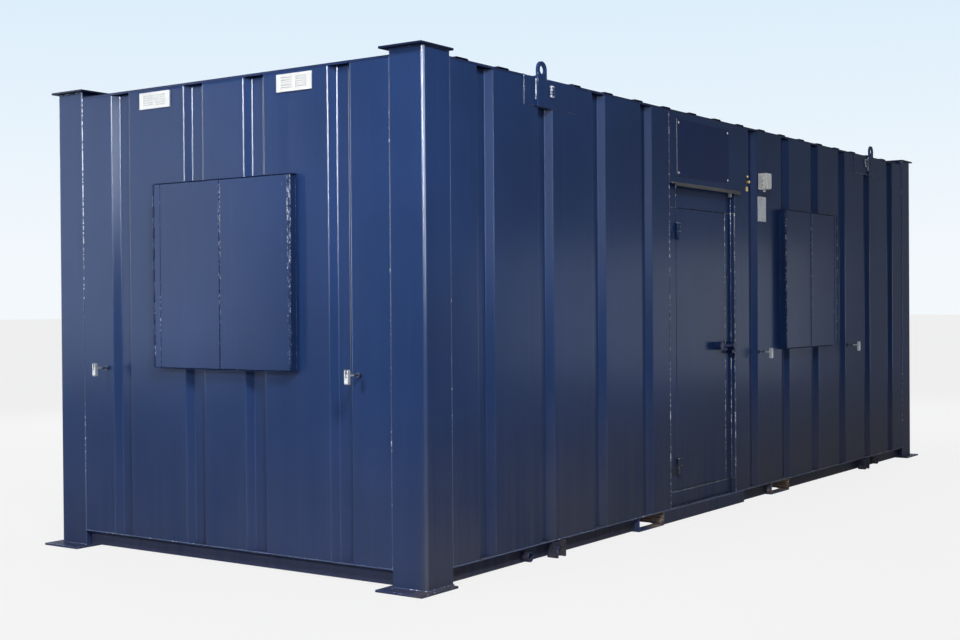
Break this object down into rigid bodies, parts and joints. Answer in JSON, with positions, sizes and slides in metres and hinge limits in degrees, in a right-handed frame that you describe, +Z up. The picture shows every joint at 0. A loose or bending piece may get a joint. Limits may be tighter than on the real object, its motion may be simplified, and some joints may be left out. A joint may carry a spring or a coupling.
{
  "type": "anti-vandal steel portable cabin",
  "caption": "Flat-roofed portable steel cabin with folded ribbed walls, a recessed steel door, hinged window shutters, lifting eyes and fork pockets.",
  "frame": {"origin": "on the ground under the middle of the cabin", "axes": "+X along the length from the window end to the blank end, -Y the door side, +Z up"},
  "size_m": [7.513, 2.884, 2.7369],
  "materials": {
    "navy_paint": "semi-gloss navy paint",
    "frame_paint": "dull dark navy paint",
    "worn_steel": "paint worn to rusty steel",
    "floor_ply": "plain plywood",
    "lining_board": "matt pale board",
    "sign_face": "satin navy panel",
    "window_plastic": "white gloss",
    "window_glass": "clear double glazing",
    "galvanised": "bright galvanised",
    "vent_plastic": "matt white",
    "isolator_plastic": "matt off-white",
    "hood_grey": "dull grey paint",
    "stud_brass": "dull brass"
  },
  "bodies": {
    "cabin": {"back_wall": "navy_paint", "base_plates": "frame_paint", "base_rails": "frame_paint", "blank_end_wall": "navy_paint", "catch_bases": "galvanised", "ceiling": "lining_board", "corner_posts": "navy_paint", "cover_plate": "galvanised", "door_contact": "vent_plastic", "door_frame": "navy_paint", "door_hinges": "frame_paint", "drip_rail": "hood_grey", "end_shutter_frame": "navy_paint", "floor_deck": "floor_ply", "floor_joists": "frame_paint", "fork_pockets": "worn_steel", "front_shutter_frame": "navy_paint", "front_wall_left": "navy_paint", "front_wall_middle": "navy_paint", "front_wall_over_door": "navy_paint", "front_wall_over_window": "navy_paint", "front_wall_right": "navy_paint", "front_wall_under_window": "navy_paint", "isolator_box": "isolator_plastic", "jamb_keeps": "frame_paint", "lifting_eyes": "navy_paint", "lock_keeper": "frame_paint", "rail_tubes": "frame_paint", "roof_sheet": "frame_paint", "shutter_hinges": "frame_paint", "sign_board": "sign_face", "sill_plate": "navy_paint", "spreader_plates": "navy_paint", "tie_down_lugs": "frame_paint", "top_plates": "navy_paint", "top_rails": "frame_paint", "vents": "vent_plastic", "wall_lining": "lining_board", "wall_studs": "stud_brass", "window_end_wall_left": "navy_paint", "window_end_wall_over": "navy_paint", "window_end_wall_right": "navy_paint", "window_end_wall_under": "navy_paint", "window_frames": "window_plastic", "window_glass": "window_glass"},
    "door": {"door_leaf": "navy_paint", "door_straps": "frame_paint", "door_lock": "frame_paint"},
    "front_left_shutter": {"front_shutter_left": "navy_paint"},
    "front_right_shutter": {"front_shutter_right": "navy_paint"},
    "end_left_shutter": {"end_shutter_left": "navy_paint"},
    "end_right_shutter": {"end_shutter_right": "navy_paint"},
    "front_left_catch": {"front_catch_left": "galvanised"},
    "front_right_catch": {"front_catch_right": "galvanised"},
    "end_left_catch": {"end_catch_left": "galvanised"},
    "end_right_catch": {"end_catch_right": "galvanised"}
  },
  "joints": [
    {"name": "door_hinge", "type": "hinge", "parent": "cabin", "child": "door", "pos_m": [-0.9315, -1.3515, 1.1], "axis": [0, 0, -1], "range_deg": [0, 170]},
    {"name": "front_left_shutter_hinge", "type": "hinge", "parent": "cabin", "child": "front_left_shutter", "pos_m": [0.673, -1.4215, 1.58], "axis": [0, 0, -1], "range_deg": [0, 170]},
    {"name": "front_right_shutter_hinge", "type": "hinge", "parent": "cabin", "child": "front_right_shutter", "pos_m": [1.695, -1.4215, 1.58], "axis": [0, 0, 1], "range_deg": [0, 170]},
    {"name": "end_left_shutter_hinge", "type": "hinge", "parent": "cabin", "child": "end_left_shutter", "pos_m": [-3.7075, 0.491, 1.58], "axis": [0, 0, -1], "range_deg": [0, 170]},
    {"name": "end_right_shutter_hinge", "type": "hinge", "parent": "cabin", "child": "end_right_shutter", "pos_m": [-3.7075, -0.531, 1.58], "axis": [0, 0, 1], "range_deg": [0, 170]},
    {"name": "front_left_catch_swing", "type": "hinge", "parent": "cabin", "child": "front_left_catch", "pos_m": [0.296, -1.4635, 1.06], "axis": [-1, 0, 0], "range_deg": [0, 90]},
    {"name": "front_right_catch_swing", "type": "hinge", "parent": "cabin", "child": "front_right_catch", "pos_m": [2.072, -1.4635, 1.06], "axis": [-1, 0, 0], "range_deg": [0, 90]},
    {"name": "end_left_catch_swing", "type": "hinge", "parent": "cabin", "child": "end_left_catch", "pos_m": [-3.7495, 0.95, 1.06], "axis": [0, 1, 0], "range_deg": [0, 90]},
    {"name": "end_right_catch_swing", "type": "hinge", "parent": "cabin", "child": "end_right_catch", "pos_m": [-3.7495, -0.95, 1.06], "axis": [0, 1, 0], "range_deg": [0, 90]}
  ]
}
